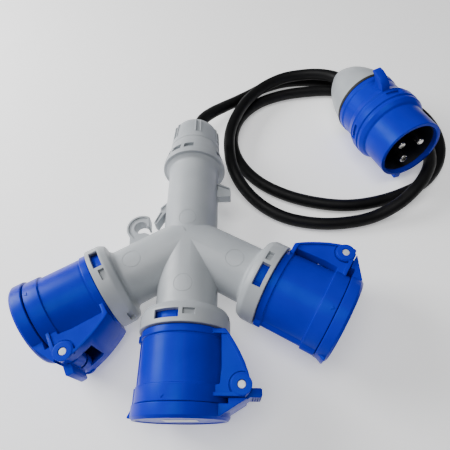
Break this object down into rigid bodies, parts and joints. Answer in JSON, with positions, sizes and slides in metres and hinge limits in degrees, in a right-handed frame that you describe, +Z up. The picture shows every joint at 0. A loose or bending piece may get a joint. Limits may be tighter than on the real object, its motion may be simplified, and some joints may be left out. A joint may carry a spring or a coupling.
{
  "type": "three way power splitter",
  "caption": "Y-shaped three-way industrial power splitter with sprung-lid outlets, a cable gland and a coiled rubber lead that ends in a round-pin plug.",
  "frame": {"origin": "centre of the splitter's footprint (lead and plug left out), on the surface it lies on", "axes": "+Z up out of the plane of the four tubes, +Y along the stem towards the cable gland, -Y out of the middle outlet, +X towards the side lug and the coiled lead"},
  "size_m": [0.3098, 0.3072, 0.0574],
  "materials": {
    "grey_housing": "light grey moulded polyamide, fine satin surface",
    "blue_housing": "bright blue moulded polyamide, satin gloss",
    "black_sheath": "black rubber cable sheath, dull",
    "rubber_seal": "black elastomer seal",
    "dark_insert": "dark moulded insulating insert",
    "steel_wire": "bright drawn steel",
    "brass_contact": "plain brass",
    "nickel_pin": "nickel-plated brass, bright",
    "clear_splice": "pale translucent connector housing",
    "brown_core": "brown core insulation",
    "blue_core": "light blue core insulation",
    "earth_core": "green and yellow core insulation"
  },
  "bodies": {
    "splitter": {"body_housing": "grey_housing", "gland_nut": "grey_housing", "gland_seal": "rubber_seal", "cable_clamp": "dark_insert", "splice_l": "clear_splice", "splice_n": "clear_splice", "splice_pe": "clear_splice", "feed_core_l": "brown_core", "feed_core_n": "blue_core", "feed_core_pe": "earth_core", "left_core_l": "brown_core", "left_core_n": "blue_core", "left_core_pe": "earth_core", "left_socket_housing": "blue_housing", "left_hinge_pin": "steel_wire", "left_lid_spring": "steel_wire", "left_contact_carrier": "dark_insert", "left_contact_l": "brass_contact", "left_contact_n": "brass_contact", "left_contact_pe": "brass_contact", "centre_core_l": "brown_core", "centre_core_n": "blue_core", "centre_core_pe": "earth_core", "centre_socket_housing": "blue_housing", "centre_hinge_pin": "steel_wire", "centre_lid_spring": "steel_wire", "centre_contact_carrier": "dark_insert", "centre_contact_l": "brass_contact", "centre_contact_n": "brass_contact", "centre_contact_pe": "brass_contact", "right_core_l": "brown_core", "right_core_n": "blue_core", "right_core_pe": "earth_core", "right_socket_housing": "blue_housing", "right_hinge_pin": "steel_wire", "right_lid_spring": "steel_wire", "right_contact_carrier": "dark_insert", "right_contact_l": "brass_contact", "right_contact_n": "brass_contact", "right_contact_pe": "brass_contact", "supply_cord": "black_sheath", "plug_housing": "blue_housing", "plug_backshell": "grey_housing", "plug_pin_carrier": "dark_insert", "plug_seal_ring": "rubber_seal", "plug_cord_clamp": "dark_insert", "plug_pin_l": "nickel_pin", "plug_pin_n": "nickel_pin", "plug_pin_pe": "nickel_pin", "plug_core_l": "brown_core", "plug_core_n": "blue_core", "plug_core_pe": "earth_core"},
    "left_lid_body": {"left_lid": "blue_housing", "left_lid_seal": "rubber_seal"},
    "centre_lid_body": {"centre_lid": "blue_housing", "centre_lid_seal": "rubber_seal"},
    "right_lid_body": {"right_lid": "blue_housing", "right_lid_seal": "rubber_seal"}
  },
  "joints": [
    {"name": "left_lid_hinge", "type": "hinge", "parent": "splitter", "child": "left_lid_body", "pos_m": [-0.06225, -0.07158, 0.0264], "axis": [0, 0, 1], "range_deg": [0, 100], "stiffness_Nm_per_rad": 0.02, "springref_deg": -68.75, "deforming": ["left_lid_spring"]},
    {"name": "centre_lid_hinge", "type": "hinge", "parent": "splitter", "child": "centre_lid_body", "pos_m": [0.0326, -0.0887, 0.0264], "axis": [0, 0, 1], "range_deg": [0, 100], "stiffness_Nm_per_rad": 0.02, "springref_deg": -68.75, "deforming": ["centre_lid_spring"]},
    {"name": "right_lid_hinge", "type": "hinge", "parent": "splitter", "child": "right_lid_body", "pos_m": [0.09485, -0.01512, 0.0264], "axis": [0, 0, 1], "range_deg": [0, 100], "stiffness_Nm_per_rad": 0.02, "springref_deg": -68.75, "deforming": ["right_lid_spring"]}
  ]
}
